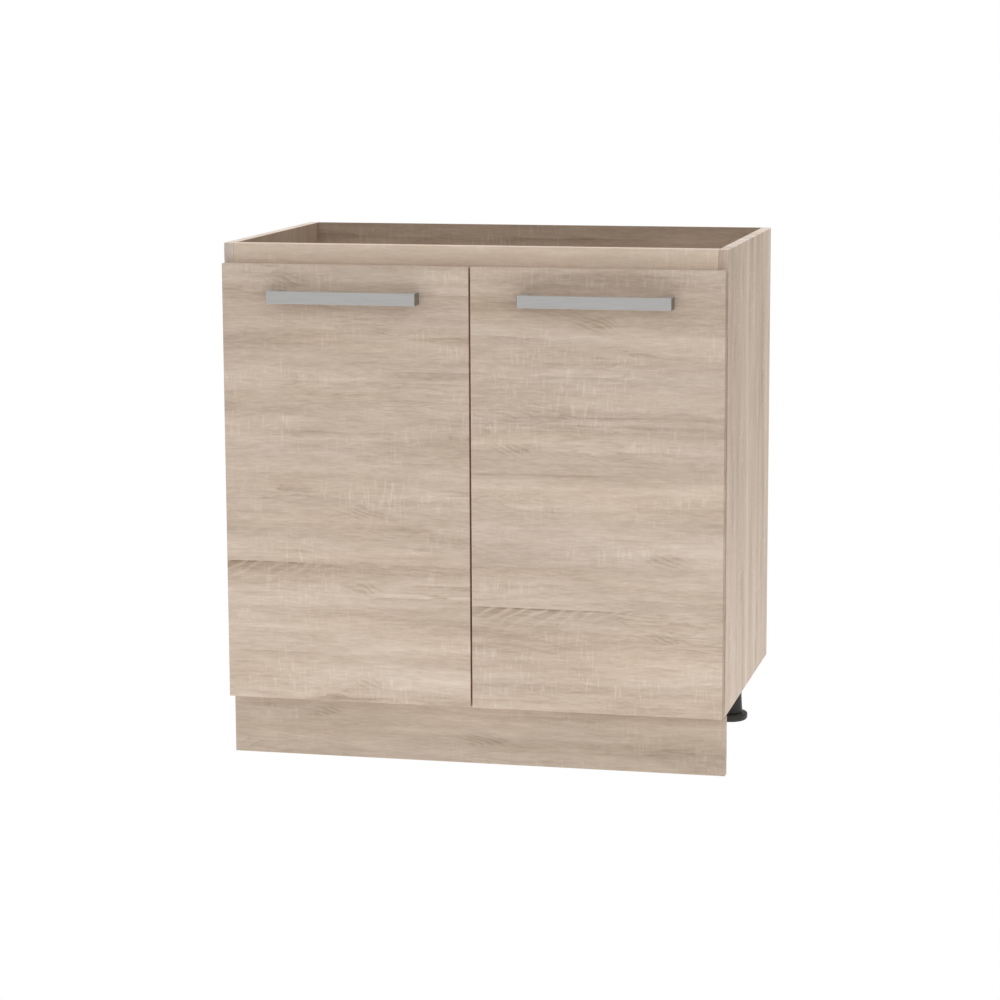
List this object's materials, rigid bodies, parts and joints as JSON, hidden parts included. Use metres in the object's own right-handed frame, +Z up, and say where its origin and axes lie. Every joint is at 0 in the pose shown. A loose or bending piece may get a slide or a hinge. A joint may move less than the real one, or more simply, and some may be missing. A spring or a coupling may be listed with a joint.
{
  "type": "kitchen base cabinet",
  "caption": "Floor-standing kitchen base cabinet in pale oak decor: overlay doors on concealed hinges, grey bow handles, clip-on plinth, levelling legs and an open top for a worktop.",
  "frame": {"origin": "on the floor, in the middle of the overall footprint, handles included", "axes": "+X to the right as seen from the front, +Y to the wall, +Z up; the doors face -Y"},
  "size_m": [0.8, 0.514, 0.822],
  "materials": {
    "oak_decor": "matt oak-look laminate on chipboard",
    "oak_decor_back": "oak-look paper on thin fibreboard",
    "handle_grey": "satin grey",
    "black_plastic": "moulded black, fine grain",
    "nickel_steel": "nickel-plated pressed steel",
    "zinc_steel": "zinc-plated",
    "beech_dowel": "plain beech",
    "clear_rubber": "clear soft dot"
  },
  "bodies": {
    "carcass": {"left_side_panel": "oak_decor", "left_upper_hinge_arm": "nickel_steel", "left_upper_hinge_plate": "nickel_steel", "left_lower_hinge_arm": "nickel_steel", "left_lower_hinge_plate": "nickel_steel", "right_side_panel": "oak_decor", "right_upper_hinge_arm": "nickel_steel", "right_upper_hinge_plate": "nickel_steel", "right_lower_hinge_arm": "nickel_steel", "right_lower_hinge_plate": "nickel_steel", "bottom_panel": "oak_decor", "front_rail": "oak_decor", "rear_rail": "oak_decor", "back_panel": "oak_decor_back", "shelf": "oak_decor", "plinth_board": "oak_decor", "shelf_pins": "nickel_steel", "cam_bolts": "zinc_steel", "cam_locks": "zinc_steel", "dowels": "beech_dowel", "back_panel_nails": "zinc_steel", "front_left_leg_socket": "black_plastic", "front_left_leg_tube": "black_plastic", "front_right_leg_socket": "black_plastic", "front_right_leg_tube": "black_plastic", "rear_left_leg_socket": "black_plastic", "rear_left_leg_tube": "black_plastic", "rear_right_leg_socket": "black_plastic", "rear_right_leg_tube": "black_plastic", "leg_screws": "zinc_steel", "plinth_clips": "black_plastic", "worktop_brackets": "zinc_steel", "plinth_clip_screws": "zinc_steel", "worktop_bracket_screws": "zinc_steel", "hinge_arm_pins": "nickel_steel", "hinge_arm_screws": "zinc_steel", "hinge_plate_screws": "zinc_steel"},
    "left_hinge_levers": {"left_hinge_levers": "nickel_steel"},
    "left_door": {"left_door": "oak_decor", "left_handle": "handle_grey", "left_handle_screws": "zinc_steel", "left_door_bumpers": "clear_rubber", "left_hinge_cup_pins": "nickel_steel", "left_hinge_cup_screws": "zinc_steel", "left_upper_hinge_cup": "nickel_steel", "left_lower_hinge_cup": "nickel_steel"},
    "right_hinge_levers": {"right_hinge_levers": "nickel_steel"},
    "right_door": {"right_door": "oak_decor", "right_handle": "handle_grey", "right_handle_screws": "zinc_steel", "right_door_bumpers": "clear_rubber", "right_hinge_cup_pins": "nickel_steel", "right_hinge_cup_screws": "zinc_steel", "right_upper_hinge_cup": "nickel_steel", "right_lower_hinge_cup": "nickel_steel"},
    "front_left_foot": {"front_left_foot": "black_plastic"},
    "front_right_foot": {"front_right_foot": "black_plastic"},
    "rear_left_foot": {"rear_left_foot": "black_plastic"},
    "rear_right_foot": {"rear_right_foot": "black_plastic"}
  },
  "joints": [
    {"name": "left_hinge_lever_turn", "type": "hinge", "parent": "carcass", "child": "left_hinge_levers", "pos_m": [-0.3695, -0.213, 0.691], "axis": [0, 0, -1], "range_deg": [-48, 0]},
    {"name": "left_door_swing", "type": "hinge", "parent": "left_hinge_levers", "child": "left_door", "pos_m": [-0.387, -0.219, 0.691], "axis": [0, 0, -1], "range_deg": [0, 148]},
    {"name": "right_hinge_lever_turn", "type": "hinge", "parent": "carcass", "child": "right_hinge_levers", "pos_m": [0.3695, -0.213, 0.691], "axis": [0, 0, 1], "range_deg": [-48, 0]},
    {"name": "right_door_swing", "type": "hinge", "parent": "right_hinge_levers", "child": "right_door", "pos_m": [0.387, -0.219, 0.691], "axis": [0, 0, 1], "range_deg": [0, 148]},
    {"name": "front_left_foot_screw_out", "type": "slide", "parent": "carcass", "child": "front_left_foot", "axis": [0, 0, -1], "range_m": [0, 0.02]},
    {"name": "front_right_foot_screw_out", "type": "slide", "parent": "carcass", "child": "front_right_foot", "axis": [0, 0, -1], "range_m": [0, 0.02]},
    {"name": "rear_left_foot_screw_out", "type": "slide", "parent": "carcass", "child": "rear_left_foot", "axis": [0, 0, -1], "range_m": [0, 0.02]},
    {"name": "rear_right_foot_screw_out", "type": "slide", "parent": "carcass", "child": "rear_right_foot", "axis": [0, 0, -1], "range_m": [0, 0.02]}
  ],
  "couplings": [
    {"joint": "left_hinge_lever_turn", "follows": "left_door_swing", "ratio": -0.3243},
    {"joint": "right_hinge_lever_turn", "follows": "right_door_swing", "ratio": -0.3243}
  ]
}
